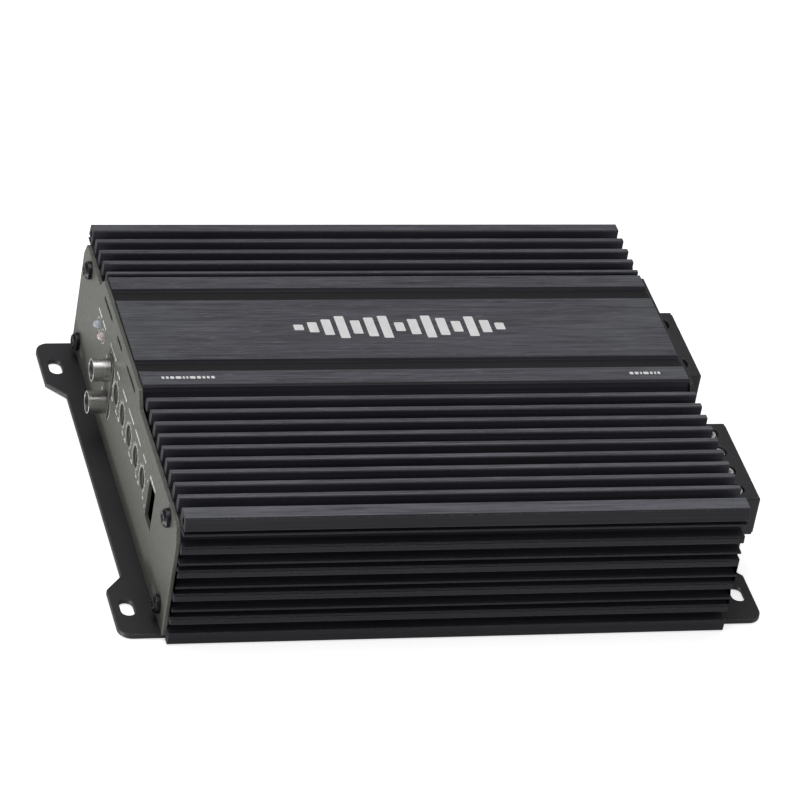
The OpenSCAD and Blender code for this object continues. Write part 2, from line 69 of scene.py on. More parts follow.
# --------------------------------------------------------------------------
# camera
# --------------------------------------------------------------------------
cam_data = bpy.data.cameras.new("camera")
cam = bpy.data.objects.new("camera", cam_data)
SC.collection.objects.link(cam)
SC.camera = cam
cam_data.sensor_fit = "HORIZONTAL"
cam_data.sensor_width = 36.0
cam_data.lens = 213.453
cam_data.clip_start = 0.05
cam_data.clip_end = 60.0
right = Vector((0.961657731, -0.228605355, 0.151505774))
down = Vector((-0.010853371, -0.583721758, -0.811881219))
ahead = Vector((0.274037611, 0.779107503, -0.563821680))
m = Matrix.Identity(4)
for i in range(3):
    m[i][0], m[i][1], m[i][2] = right[i], -down[i], -ahead[i]
m[0][3], m[1][3], m[2][3] = -0.4636786, -1.3121016, 0.9861319
cam.matrix_world = m


# --------------------------------------------------------------------------
# material helpers
# --------------------------------------------------------------------------
class Mat:
    """A node material built step by step. Coordinates are the row frame's, in metres."""

    def __init__(self, name, color, rough=0.5, metal=0.0, **sockets):
        self.m = bpy.data.materials.new(name)
        self.m.use_nodes = True
        self.t = self.m.node_tree
        self.t.nodes.clear()
        out = self.t.nodes.new("ShaderNodeOutputMaterial")
        self.b = self.t.nodes.new("ShaderNodeBsdfPrincipled")
        self.t.links.new(self.b.outputs[0], out.inputs[0])
        self.b.inputs["Base Color"].default_value = (*color[:3], 1)
        self.b.inputs["Roughness"].default_value = rough
        self.b.inputs["Metallic"].default_value = metal
        for k, v in sockets.items():
            self.b.inputs[k.replace("_", " ")].default_value = v
        self.m.diffuse_color = (*color[:3], 1)
        self.co = self.t.nodes.new("ShaderNodeTexCoord").outputs["Object"]
        self.last_normal = None

    def put(self, sock, v):
        if hasattr(v, "is_output"):
            self.t.links.new(v, sock)
        elif isinstance(v, (tuple, list)) and len(v) == 3 and sock.type == "RGBA":
            sock.default_value = (*v, 1)
        else:
            sock.default_value = v

    def map(self, scale=(1, 1, 1), rot=(0, 0, 0), loc=(0, 0, 0)):
        n = self.t.nodes.new("ShaderNodeMapping")
        n.inputs["Scale"].default_value = scale
        n.inputs["Rotation"].default_value = rot
        n.inputs["Location"].default_value = loc
        self.t.links.new(self.co, n.inputs["Vector"])
        return n.outputs[0]

    def noise(self, vec, scale=1.0, detail=3.0, rough=0.55, distort=0.0):
        n = self.t.nodes.new("ShaderNodeTexNoise")
        self.put(n.inputs["Vector"], vec)
        n.inputs["Scale"].default_value = scale
        n.inputs["Detail"].default_value = detail
        n.inputs["Roughness"].default_value = rough
        n.inputs["Distortion"].default_value = distort
        return n.outputs["Fac"] if "Fac" in n.outputs else n.outputs[0]

    def voronoi(self, vec, scale=1.0, feature="F1", rand=1.0):
        n = self.t.nodes.new("ShaderNodeTexVoronoi")
        n.feature = feature
        self.put(n.inputs["Vector"], vec)
        n.inputs["Scale"].default_value = scale
        n.inputs["Randomness"].default_value = rand
        return n.outputs["Distance"]

    def wave(self, vec, scale, distort=0.0, detail=2.0, direction="X", profile="SIN"):
        n = self.t.nodes.new("ShaderNodeTexWave")
        n.wave_type = "BANDS"
        n.bands_direction = direction
        n.wave_profile = profile
        self.put(n.inputs["Vector"], vec)
        n.inputs["Scale"].default_value = scale
        n.inputs["Distortion"].default_value = distort
        n.inputs["Detail"].default_value = detail
        return n.outputs["Fac"] if "Fac" in n.outputs else n.outputs[0]

    def math(self, op, a, b=0.0, c=None, clamp=False):
        n = self.t.nodes.new("ShaderNodeMath")
        n.operation = op
        n.use_clamp = clamp
        self.put(n.inputs[0], a)
        self.put(n.inputs[1], b)
        if c is not None:
            self.put(n.inputs[2], c)
        return n.outputs[0]

    def rng(self, v, a0, a1, b0, b1):
        n = self.t.nodes.new("ShaderNodeMapRange")
        n.clamp = True
        self.put(n.inputs["Value"], v)
        for k, x in (("From Min", a0), ("From Max", a1), ("To Min", b0), ("To Max", b1)):
            n.inputs[k].default_value = x
        return n.outputs[0]

    def mix(self, fac, a, b, mode="MIX"):
        n = self.t.nodes.new("ShaderNodeMix")
        n.data_type = "RGBA"
        n.blend_type = mode
        self.put(n.inputs[0], fac)
        self.put(n.inputs[6], a)
        self.put(n.inputs[7], b)
        return n.outputs[2]

    def color(self, v):
        self.put(self.b.inputs["Base Color"], v)
        return self

    def rough(self, v):
        self.put(self.b.inputs["Roughness"], v)
        return self

    def bump(self, height, depth_m, strength=1.0):
        n = self.t.nodes.new("ShaderNodeBump")
        n.inputs["Strength"].default_value = strength
        n.inputs["Distance"].default_value = depth_m
        self.put(n.inputs["Height"], height)
        if self.last_normal is not None:
            self.t.links.new(self.last_normal, n.inputs["Normal"])
        self.last_normal = n.outputs[0]
        self.put(self.b.inputs["Normal"], self.last_normal)
        return self

    def attr(self, name):
        n = self.t.nodes.new("ShaderNodeAttribute")
        n.attribute_type = "GEOMETRY"
        n.attribute_name = name
        return n.outputs["Fac"]

    def xyz(self):
        n = self.t.nodes.new("ShaderNodeSeparateXYZ")
        self.t.links.new(self.co, n.inputs[0])
        return n.outputs

    def normal_xyz(self):
        g = self.t.nodes.new("ShaderNodeNewGeometry")
        n = self.t.nodes.new("ShaderNodeSeparateXYZ")
        self.t.links.new(g.outputs["True Normal"], n.inputs[0])
        return n.outputs

    def worn(self, base, metal_color, amount=0.6, grain=900.0):
        """Edges rubbed through to a brighter tone, broken up by grain."""
        w = self.attr("wear")
        g = self.noise(self.map((grain, grain, grain)), 1.0, 4.0, 0.6)
        f = self.math("MULTIPLY", self.rng(w, 0.25, 0.9, 0.0, 1.0), self.rng(g, 0.42, 0.66, 0.0, amount))
        return self.mix(f, base, metal_color)


MATS = {}


def keep(key, mat):
    MATS[key] = mat.m
    return mat


def make_anodised():
    a = Mat("black_anodised", (0.04, 0.039, 0.045), 0.46, 0.0)
    x, y, z = a.xyz()
    nx, ny, nz = a.normal_xyz()
    up = a.rng(nz, 0.85, 0.98, 0.0, 1.0)
    high = a.rng(z, 0.0523, 0.05265, 0.0, 1.0)
    top = a.math("MULTIPLY", up, high)
    # brushing along X: scratches of three lengths laid over each other
    fine = a.noise(a.map((75, 3300, 3300)), 1.0, 3.0, 0.7)
    mid = a.noise(a.map((38, 1250, 1250), loc=(3.1, 0.4, 0)), 1.0, 4.0, 0.8)
    wide = a.noise(a.map((16, 520, 520), loc=(0, 7.7, 0)), 1.0, 3.0, 0.7)
    streak = a.math("ADD", a.math("MULTIPLY", fine, 0.25), a.math("ADD", a.math("MULTIPLY", mid, 0.50), a.math("MULTIPLY", wide, 0.25)))
    streak = a.rng(streak, 0.37, 0.63, 0.0, 1.0)
    nick = a.rng(a.noise(a.map((130, 2100, 2100), loc=(5.5, 1.9, 0)), 1.0, 2.0, 0.5), 0.63, 0.72, 0.0, 1.0)
    cloud = a.noise(a.map((12, 12, 12)), 1.0, 3.0, 0.6)
    # towards both ends the brushed finish turns cooler and lighter in patches
    ax = a.math("ABSOLUTE", x)
    patch = a.rng(a.noise(a.map((24, 70, 70), loc=(1.3, 2.2, 0)), 1.0, 3.0, 0.6), 0.42, 0.60, 0.0, 1.0)
    ends = a.math("MULTIPLY", a.math("MULTIPLY", a.rng(ax, 0.055, 0.098, 0.0, 1.0), patch), top)
    dark = a.mix(a.rng(cloud, 0.35, 0.65, 0, 1), (0.0185, 0.0178, 0.0235), (0.0240, 0.0230, 0.0295))
    drawn = a.rng(a.noise(a.map((5, 900, 900)), 1.0, 4.0, 0.75), 0.35, 0.65, 0.72, 1.3)
    n = a.t.nodes.new("ShaderNodeVectorMath"); n.operation = "SCALE"
    # painted light: the walls between the top fins are lightened; painted shade: the groove floors are darkened
    wall_painted_light = a.math("MULTIPLY", a.rng(a.math("ABSOLUTE", ny), 0.7, 0.95, 0.0, 1.0),
                  a.math("MULTIPLY", a.rng(z, 0.036, 0.046, 0.0, 1.0), a.rng(y, -0.0850, -0.0835, 0.0, 1.0)))
    gain = a.math("MULTIPLY", drawn, a.math("ADD", 1.0, a.math("MULTIPLY", wall_painted_light, 1.3)))
    # painted shade: the upward groove floors darkened to 0.30 of the base tone
    groove_painted_shade = a.math("MULTIPLY", up, a.rng(a.math("ABSOLUTE", y), 0.060, 0.062, 1.0, 0.0))
    gain = a.math("MULTIPLY", gain, a.rng(groove_painted_shade, 0.0, 1.0, 1.0, 0.30))
    # the side ribs: painted shade on the rolled tips, painted light in the valleys between them
    ribs = a.math("MULTIPLY", a.rng(z, 0.0474, 0.0479, 1.0, 0.0), a.rng(a.math("ABSOLUTE", y), 0.0825, 0.0835, 0.0, 1.0))
    rib_painted_light_shade = a.rng(a.math("ABSOLUTE", y), 0.0884, 0.0893, 1.9, 0.62)
    gain = a.math("MULTIPLY", gain, a.math("ADD", 1.0, a.math("MULTIPLY", ribs, a.math("SUBTRACT", rib_painted_light_shade, 1.0))))
    a.put(n.inputs[0], dark); a.put(n.inputs["Scale"], gain)
    dark = n.outputs[0]
    lit = a.mix(streak, (0.022, 0.0212, 0.0270), (0.131, 0.1275, 0.151))
    n = a.t.nodes.new("ShaderNodeVectorMath"); n.operation = "SCALE"
    # painted light: the lands and fin tips lighter towards the front (-Y) side, up to 1.42 times
    a.put(n.inputs[0], lit); a.put(n.inputs["Scale"], a.rng(y, -0.088, 0.008, 1.42, 1.0))
    lit = n.outputs[0]
    lit = a.mix(a.math("MULTIPLY", nick, 0.6), lit, (0.21, 0.21, 0.225))
    lit = a.mix(a.math("MULTIPLY", ends, 0.45), lit, a.mix(streak, (0.070, 0.084, 0.087), (0.165, 0.190, 0.194)))
    base = a.mix(top, dark, lit)
    base = a.worn(base, (0.22, 0.22, 0.23), 0.22, 1500.0)
    a.color(base)
    r_top = a.rng(streak, 0, 1, 0.54, 0.42)
    r_low = a.rng(cloud, 0.3, 0.7, 0.46, 0.54)
    n = a.t.nodes.new("ShaderNodeMix")
    a.put(n.inputs[0], top); a.put(n.inputs[2], r_low); a.put(n.inputs[3], r_top)
    a.rough(n.outputs[0])
    a.b.inputs["Specular IOR Level"].default_value = 0.38
    # drawing lines everywhere, brushing on the lands, and a fine etched grain
    grain = a.noise(a.map((7000, 7000, 7000)), 1.0, 2.0, 0.6)
    a.bump(a.noise(a.map((4, 1500, 1500)), 1.0, 4.0, 0.75), 0.000016, 0.8)
    a.bump(a.math("MULTIPLY", streak, top), 0.000024, 0.8)
    a.bump(grain, 0.000003, 0.4)
    return a


keep("black_anodised", make_anodised())


def make_powder(name, lo, hi, rough):
    a = Mat(name, hi, rough)
    g = a.voronoi(a.map((2300, 2300, 2300)), 1.0, "SMOOTH_F1")
    n = a.noise(a.map((1500, 1500, 1500)), 1.0, 3.0, 0.6)
    c = a.noise(a.map((18, 18, 18)), 1.0, 3.0, 0.6)
    base = a.mix(a.rng(c, 0.35, 0.65, 0, 1), lo, hi)
    base = a.worn(base, (0.20, 0.20, 0.205), 0.35, 1100.0)
    a.color(base)
    a.rough(a.rng(n, 0.3, 0.7, rough - 0.06, rough + 0.08))
    a.bump(g, 0.00004, 0.8)
    a.bump(n, 0.00003, 0.6)
    return a


keep("black_powder_coat", make_powder("black_powder_coat", (0.0165, 0.0163, 0.0190), (0.0210, 0.0207, 0.0240), 0.54))


def make_panel_paint():
    a = Mat("graphite_paint", (0.13, 0.128, 0.118), 0.44)
    c = a.noise(a.map((14, 14, 14)), 1.0, 3.0, 0.6)
    f = a.noise(a.map((2600, 2600, 2600)), 1.0, 2.0, 0.5)
    peel = a.noise(a.map((520, 520, 520)), 1.0, 3.0, 0.55)
    base = a.mix(a.rng(c, 0.32, 0.68, 0, 1), (0.118, 0.1205, 0.105), (0.134, 0.137, 0.120))
    fleck = a.rng(f, 0.60, 0.72, 0.0, 0.35)
    base = a.mix(fleck, base, (0.20, 0.20, 0.19))
    base = a.worn(base, (0.42, 0.42, 0.41), 0.5, 1300.0)
    a.color(base)
    a.rough(a.rng(peel, 0.3, 0.7, 0.38, 0.50))
    a.bump(peel, 0.00003, 0.55)
    a.bump(f, 0.000012, 0.5)
    a.b.inputs["Specular IOR Level"].default_value = 0.30
    return a


keep("graphite_paint", make_panel_paint())


def make_plastic(key, color, rough=0.5, grain=1700.0, depth=0.00003, spec=0.45, wear=0.25, tone=0.18):
    a = Mat(key, color, rough)
    lo = tuple(v * (1 - tone) for v in color[:3])
    hi = tuple(min(1.0, v * (1 + tone)) for v in color[:3])
    c = a.noise(a.map((60, 60, 60)), 1.0, 4.0, 0.6)
    g = a.voronoi(a.map((grain, grain, grain)), 1.0, "SMOOTH_F1")
    n = a.noise(a.map((grain * 1.7,) * 3), 1.0, 3.0, 0.6)
    base = a.mix(a.rng(c, 0.3, 0.7, 0, 1), lo, hi)
    pale = tuple(min(1.0, v * 1.5 + 0.05) for v in color[:3])
    base = a.worn(base, pale, wear, 1400.0)
    a.color(base)
    a.rough(a.rng(n, 0.3, 0.7, rough - 0.07, rough + 0.07))
    a.b.inputs["Specular IOR Level"].default_value = spec
    a.bump(g, depth, 0.7)
    a.bump(n, depth * 0.5, 0.5)
    return keep(key, a)


make_plastic("black_plastic", (0.024, 0.0238, 0.0262), 0.46, 1500.0, 0.00003)
make_plastic("grey_plastic", (0.105, 0.103, 0.097), 0.48, 1700.0, 0.00002)
make_plastic("knob_plastic", (0.040, 0.040, 0.041), 0.44, 2400.0, 0.000012, wear=0.35)
make_plastic("blue_plastic", (0.05, 0.15, 0.32), 0.42, 1500.0, 0.00002)
make_plastic("sleeve_vinyl", (0.035, 0.042, 0.065), 0.30, 900.0, 0.00001)
make_plastic("transistor_epoxy", (0.034, 0.034, 0.036), 0.55, 2600.0, 0.00002)
make_plastic("thermal_pad", (0.42, 0.45, 0.46), 0.7, 1300.0, 0.00002)


def make_ink():
    a = Mat("white_ink", (0.86, 0.86, 0.86), 0.5)
    n = a.noise(a.map((1800, 1800, 1800)), 1.0, 3.0, 0.6)
    w = a.noise(a.map((260, 260, 260)), 1.0, 4.0, 0.65)
    base = a.mix(a.rng(w, 0.35, 0.7, 0, 1), (0.80, 0.80, 0.80), (0.90, 0.90, 0.895))
    base = a.mix(a.rng(n, 0.62, 0.74, 0, 0.35), base, (0.55, 0.55, 0.55))
    a.color(base)
    a.rough(a.rng(n, 0.3, 0.7, 0.44, 0.56))
    a.bump(n, 0.000006, 0.4)
    return keep("white_ink", a)


make_ink()


def make_metal(key, color, rough, scale=(60, 2600, 2600), wear=None, tone=0.10, depth=0.000006, dark=None):
    """Metal with fine tool marks drawn along one way, faint darker smudges, and fine pits."""
    a = Mat(key, color, rough, 1.0)
    t = a.noise(a.map(scale), 1.0, 3.0, 0.65)
    s = a.noise(a.map((150, 150, 150)), 1.0, 4.0, 0.6)
    p = a.noise(a.map((2600, 2600, 2600)), 1.0, 2.0, 0.5)
    lo = tuple(v * (1 - tone) for v in color)
    hi = tuple(min(1.0, v * (1 + tone)) for v in color)
    base = a.mix(a.rng(t, 0.3, 0.7, 0, 1), lo, hi)
    base = a.mix(a.rng(s, 0.5, 0.72, 0, 0.35), base, dark or tuple(v * 0.6 for v in color))
    if wear:
        base = a.worn(base, wear, 0.75, 1600.0)
    a.color(base)
    a.rough(a.math("ADD", a.rng(t, 0.3, 0.7, rough - 0.06, rough + 0.05), a.rng(s, 0.45, 0.75, 0.0, 0.12)))
    a.bump(t, depth, 0.8)
    a.bump(p, depth * 0.5, 0.4)
    return keep(key, a)


make_metal("black_screw", (0.045, 0.045, 0.048), 0.40, (1500, 1500, 1500), (0.30, 0.30, 0.31))
make_metal("dark_screw", (0.12, 0.12, 0.125), 0.36, (1600, 1600, 200), (0.42, 0.42, 0.43))
make_metal("bright_screw", (0.80, 0.80, 0.79), 0.24, (1800, 1800, 240), None, 0.08)
make_metal("nickel_shell", (0.49, 0.485, 0.475), 0.30, (2600, 160, 160), None, 0.08)
make_metal("terminal_metal", (0.70, 0.675, 0.62), 0.30, (90, 2200, 2200), None, 0.08)
make_metal("gold_contact", (0.86, 0.64, 0.30), 0.24, (2200, 200, 200), None, 0.06)
make_metal("fuse_metal", (0.70, 0.70, 0.69), 0.34, (60, 2000, 2000), None, 0.08)
make_metal("copper", (0.74, 0.40, 0.22), 0.34, (60, 1600, 1600), None, 0.12)
make_metal("can_aluminium", (0.78, 0.78, 0.79), 0.30, (900, 900, 60), None, 0.06)
make_metal("clamp_steel", (0.52, 0.53, 0.54), 0.36, (30, 1500, 1500), None, 0.1)
make_metal("standoff_brass", (0.80, 0.61, 0.31), 0.28, (160, 160, 2600), None, 0.08)


def make_ferrite():
    a = Mat("ferrite", (0.07, 0.07, 0.07), 0.62)
    n = a.noise(a.map((1100, 1100, 1100)), 1.0, 5.0, 0.7)
    a.color(a.mix(a.rng(n, 0.35, 0.65, 0, 1), (0.05, 0.05, 0.052), (0.095, 0.095, 0.095)))
    a.rough(a.rng(n, 0.3, 0.7, 0.5, 0.75))
    a.bump(n, 0.00006, 0.8)
    return keep("ferrite", a)


def make_enamel():
    a = Mat("copper_wire", (0.55, 0.20, 0.07), 0.24, 0.85, Coat_Weight=0.6, Coat_Roughness=0.12)
    n = a.noise(a.map((300, 300, 300)), 1.0, 4.0, 0.6)
    f = a.noise(a.map((2400, 2400, 2400)), 1.0, 2.0, 0.5)
    a.color(a.mix(a.rng(n, 0.35, 0.65, 0, 1), (0.46, 0.16, 0.05), (0.66, 0.27, 0.10)))
    a.rough(a.rng(f, 0.3, 0.7, 0.2, 0.34))
    a.bump(f, 0.000008, 0.5)
    return keep("copper_wire", a)


def make_board():
    a = Mat("board_laminate", (0.02, 0.12, 0.06), 0.34, 0.0, Coat_Weight=0.4, Coat_Roughness=0.2)
    weave = a.math("MULTIPLY", a.wave(a.map((1, 1, 1)), 260.0, 0.6, 2.0, "X"), a.wave(a.map((1, 1, 1)), 260.0, 0.6, 2.0, "Y"))
    trk = a.wave(a.map((1, 1, 1)), 52.0, 5.5, 1.0, "Y")
    n = a.noise(a.map((90, 90, 90)), 1.0, 3.0, 0.6)
    track = a.rng(trk, 0.55, 0.62, 0, 1)
    base = a.mix(track, (0.012, 0.085, 0.040), (0.030, 0.160, 0.070))
    base = a.mix(a.rng(n, 0.45, 0.7, 0, 0.4), base, (0.02, 0.12, 0.07))
    a.color(base)
    a.rough(a.rng(weave, 0, 1, 0.30, 0.42))
    a.bump(track, 0.00004, 0.8)
    a.bump(weave, 0.00001, 0.5)
    return keep("board_laminate", a)


def make_clear(key, tint, rough, trans=1.0, emit=0.0):
    a = Mat(key, tint, rough, 0.0, Transmission_Weight=trans, IOR=1.53)
    n = a.noise(a.map((420, 420, 420)), 1.0, 3.0, 0.6)
    lo = tuple(v * 0.94 for v in tint)
    a.color(a.mix(a.rng(n, 0.3, 0.7, 0, 1), lo, tint))
    a.rough(a.rng(n, 0.3, 0.7, max(0.02, rough - 0.03), rough + 0.05))
    if emit:
        a.b.inputs["Emission Color"].default_value = (*tint, 1)
        a.b.inputs["Emission Strength"].default_value = emit
    a.bump(n, 0.00001, 0.3)
    return keep(key, a)


make_ferrite()
make_enamel()
make_board()
make_clear("led_clear", (0.80, 0.84, 0.90), 0.10, 0.55, 0.05)
make_clear("led_red", (0.90, 0.78, 0.75), 0.16, 0.45, 0.05)
make_clear("fuse_plastic", (0.95, 0.45, 0.06), 0.14, 0.6)

SLOT_OF = {s["node"]: s["material_slot"] for s in frame["record"]["subparts"]}
BODY_OF = {n: b for b, ns in frame["record"]["behaviour"]["bodies"].items() for n in ns}
NODES = frame["nodes"]

# every CAD node that stays shown gets its finish
for name, o in NODES.items():
    mat = MATS[SLOT_OF[name]]
    if not o.data.materials:
        o.data.materials.append(mat)
    for s in o.material_slots:
        s.material = mat


# --------------------------------------------------------------------------
# mesh helpers
# --------------------------------------------------------------------------
def link(name, me, mat):
    o = bpy.data.objects.new(name, me)
    SC.collection.objects.link(o)
    o.data.materials.clear()
    o.data.materials.append(MATS[mat] if isinstance(mat, str) else mat)
    return o


def wear_attribute(me):
    """1 on the narrow strips that round an outer edge, 0 elsewhere, as a face attribute that the finishes read."""
    bm = bmesh.new()
    bm.from_mesh(me)
    vals = []
    for f in bm.faces:
        v = 0.0
        if f.material_index == 1:
            c = f.calc_center_median()
            out = 0
            for e in f.edges:
                for g in e.link_faces:
                    if g is not f and g.material_index == 0:
                        out += 1 if (g.calc_center_median() - c).dot(f.normal) < 0 else -1
            v = 1.0 if out >= 0 else 0.0
        vals.append(v)
    bm.free()
    for p in me.polygons:
        p.material_index = 0
    at = me.attributes.get("wear") or me.attributes.new("wear", "FLOAT", "FACE")
    at.data.foreach_set("value", vals)


def soften(node, width=0.15, segments=2, name=None, mat=None, angle=28.0, share=0.36):
    """The CAD node's own shape with every sharp edge rounded, as a new piece that stands for it."""
    src = NODES[node]
    me = src.data.copy()
    bm = bmesh.new()
    bm.from_mesh(me)
    bmesh.ops.remove_doubles(bm, verts=bm.verts, dist=2e-6)
    bmesh.ops.dissolve_degenerate(bm, edges=bm.edges, dist=1e-6)
    bmesh.ops.dissolve_limit(bm, angle_limit=math.radians(0.6), verts=bm.verts, edges=bm.edges)
    lay = bm.edges.layers.float.get("bevel_weight_edge") or bm.edges.layers.float.new("bevel_weight_edge")
    w_m = width * MM
    lim = math.radians(angle)
    for e in bm.edges:
        e[lay] = 0.0
        if len(e.link_faces) != 2 or e.calc_face_angle(0.0) < lim:
            continue
        d = (e.verts[1].co - e.verts[0].co)
        if d.length < 1e-6:
            continue
        d.normalize()
        room = 1.0
        for f in e.link_faces:
            side = f.normal.cross(d)
            ext = [(v.co - e.verts[0].co).dot(side) for v in f.verts]
            room = min(room, max(abs(min(ext)), abs(max(ext))))
        e[lay] = max(0.0, min(1.0, share * room / w_m))
    bm.to_mesh(me)
    bm.free()
    tmp = bpy.data.objects.new("tmp_soften", me)
    SC.collection.objects.link(tmp)
    b = tmp.modifiers.new("round", "BEVEL")
    b.limit_method = "WEIGHT"
    b.width = w_m
    b.segments = segments
    b.profile = 0.5
    b.use_clamp_overlap = False
    b.miter_outer = "MITER_SHARP"
    b.material = 1
    me.materials.clear()
    me.materials.append(MATS[SLOT_OF[node]])
    me.materials.append(MATS[SLOT_OF[node]])
    for q in me.polygons:
        q.material_index = 0
    dg = bpy.context.evaluated_depsgraph_get()
    dg.update()
    out = bpy.data.meshes.new_from_object(tmp.evaluated_get(dg))
    bpy.data.objects.remove(tmp)
    bm = bmesh.new()
    bm.from_mesh(out)
    bmesh.ops.remove_doubles(bm, verts=bm.verts, dist=1e-6)
    bmesh.ops.dissolve_degenerate(bm, edges=bm.edges, dist=5e-7)
    bmesh.ops.recalc_face_normals(bm, faces=bm.faces)
    bm.to_mesh(out)
    bm.free()
    out.name = (name or node + "_finish")
    wear_attribute(out)
    o = link(name or node + "_finish", out, mat or SLOT_OF[node])
    for p in out.polygons:
        p.use_smooth = True
    out.set_sharp_from_angle(angle=math.radians(52))
    wn = o.modifiers.new("normals", "WEIGHTED_NORMAL")
    wn.keep_sharp = True
    wn.weight = 60
    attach(o, BODY_OF[node])
    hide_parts(node)
    return o


ROUND = {
    "heatsink_shell": (0.20, 2), "base_plate": (0.28, 2),
    "control_end_panel": (0.18, 2), "terminal_end_panel": (0.18, 2),
    "control_panel_screws": (0.14, 2), "terminal_panel_screws": (0.14, 2), "base_plate_screws": (0.1, 2),
    "phono_housing": (0.22, 2), "phono_shells": (0.16, 2), "phono_insulators": (0.14, 2), "phono_contacts": (0.06, 1),
    "gain_knob": (0.16, 2), "low_pass_knob": (0.16, 2), "subsonic_knob": (0.16, 2), "bass_boost_knob": (0.16, 2), "phase_knob": (0.16, 2),
    "signal_socket": (0.2, 2), "signal_pins": (0.12, 2),
    "speaker_terminal_housing": (0.26, 3), "supply_terminal_housing": (0.26, 3),
    "battery_pad": (0.14, 2), "remote_pad": (0.1, 2), "ground_pad": (0.14, 2),
    "fuse_holder": (0.24, 2), "fuse_clips": (0.1, 1), "fuse_a": (0.3, 3), "fuse_b": (0.3, 3),
    "fuse_a_element": (0.08, 1), "fuse_b_element": (0.08, 1),
    "board_standoffs": (0.15, 2), "board_screws": (0.1, 2),
}
for k in (1, 2, 3, 4):
    ROUND[f"speaker_pad_{k}"] = (0.12, 2)
for node, (w, s) in ROUND.items():
    soften(node, w, s)


def rounded(points, r, steps=4):
    """A closed outline with its corners rounded."""
    out, n = [], len(points)
    for i in range(n):
        p0, p1, p2 = Vector(points[i - 1]), Vector(points[i]), Vector(points[(i + 1) % n])
        a, b = (p0 - p1), (p2 - p1)
        k = min(r, a.length * 0.45, b.length * 0.45)
        a.normalize(); b.normalize()
        s, e = p1 + a * k, p1 + b * k
        for j in range(steps + 1):
            t = j / steps
            out.append(((1 - t) ** 2) * s + 2 * t * (1 - t) * p1 + (t ** 2) * e)
    return [tuple(p) for p in out]


def pill(cx, cy, w, h, r=None, steps=5):
    r = min(w, h) / 2 if r is None else r
    return rounded([(cx - w / 2, cy - h / 2), (cx + w / 2, cy - h / 2), (cx + w / 2, cy + h / 2), (cx - w / 2, cy + h / 2)], r, steps)


def arc_band(cx, cy, r0, r1, a0, a1, steps=40):
    """A ring segment from angle a0 to a1, in degrees."""
    pts = []
    for i in range(steps + 1):
        t = math.radians(a0 + (a1 - a0) * i / steps)
        pts.append((cx + r1 * math.cos(t), cy + r1 * math.sin(t)))
    for i in range(steps, -1, -1):
        t = math.radians(a0 + (a1 - a0) * i / steps)
        pts.append((cx + r0 * math.cos(t), cy + r0 * math.sin(t)))
    return pts


def tick(cx, cy, r0, r1, a, w):
    t = math.radians(a)
    u, v = Vector((math.cos(t), math.sin(t))), Vector((-math.sin(t), math.cos(t)))
    c = Vector((cx, cy))
    return [tuple(c + u * r0 - v * w / 2), tuple(c + u * r1 - v * w / 2), tuple(c + u * r1 + v * w / 2), tuple(c + u * r0 + v * w / 2)]


def dashes(c0, c1, cy, h, seed, gap=0.55):
    """A row of short bars between c0 and c1, standing for a caption without any letters in it."""
    r = random.Random(seed)
    out, x, left = [], min(c0, c1), max(c0, c1)
    while x < left - 0.6:
        w = min(r.choice((0.7, 1.0, 1.4, 2.0)), left - x)
        out.append(pill(x + w / 2, cy, w, h, h * 0.3, 3))
        x += w + gap
    return out


def printed(name, outlines, place, body="root", proud=0.02, mat="white_ink"):
    """Flat shapes printed on a surface. place turns (a, b, height) in mm into a point in metres."""
    bm = bmesh.new()
    for pts in outlines:
        area = sum(pts[i - 1][0] * pts[i][1] - pts[i][0] * pts[i - 1][1] for i in range(len(pts)))
        if area < 0:
            pts = pts[::-1]
        lo = [bm.verts.new(place(p[0], p[1], -0.01)) for p in pts]
        hi = [bm.verts.new(place(p[0], p[1], proud)) for p in pts]
        for i in range(len(pts)):
            bm.faces.new((lo[i - 1], lo[i], hi[i], hi[i - 1]))
        tris = tessellate_polygon([[Vector((p[0], p[1], 0)) for p in pts]])
        for t in tris:
            bm.faces.new([hi[i] for i in t])
            bm.faces.new([lo[i] for i in reversed(t)])
    bmesh.ops.recalc_face_normals(bm, faces=bm.faces)
    bmesh.ops.dissolve_limit(bm, angle_limit=math.radians(0.5), verts=bm.verts, edges=bm.edges)
    me = bpy.data.meshes.new(name)
    bm.to_mesh(me)
    bm.free()
    o = link(name, me, mat)
    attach(o, body)
    return o


# --------------------------------------------------------------------------
# print on the top
# --------------------------------------------------------------------------
shell_lo, shell_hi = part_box("heatsink_shell")
TOP = shell_hi.z / MM


def on_top(a, b, h):
    return (a * MM, b * MM, (TOP + h * 0.5) * MM)


def emblem():
    """A generic row of level bars with rounded corners, about as large as the print that the object carries."""
    out = []
    heights = [3.4, 6.2, 9.6, 13.6, 8.2, 11.6, 13.6, 5.4, 9.4, 13.6, 10.6, 6.6, 12.2, 7.6, 4.2]
    x0, x1, yc = -39.5, 40.5, 22.25
    pitch = (x1 - x0) / len(heights)
    for i, h in enumerate(heights):
        cx = x0 + pitch * (i + 0.5)
        w = pitch * 0.66
        out.append(rounded([(cx - w / 2, yc - h / 2), (cx + w / 2, yc - h / 2), (cx + w / 2, yc + h / 2), (cx - w / 2, yc + h / 2)], 0.5, 4))
    return out


printed("top_emblem", emblem(), on_top)
marks = dashes(-92.5, -73.5, -7.6, 1.5, 3) + dashes(78.6, 91.0, -7.6, 1.5, 5)
printed("top_small_marks", marks, on_top)

# --------------------------------------------------------------------------
# print on the control panel
# --------------------------------------------------------------------------
cp_lo, cp_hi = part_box("control_end_panel")
PX = cp_lo.x / MM


def on_control(a, b, h):
    return ((PX - h) * MM, a * MM, b * MM)


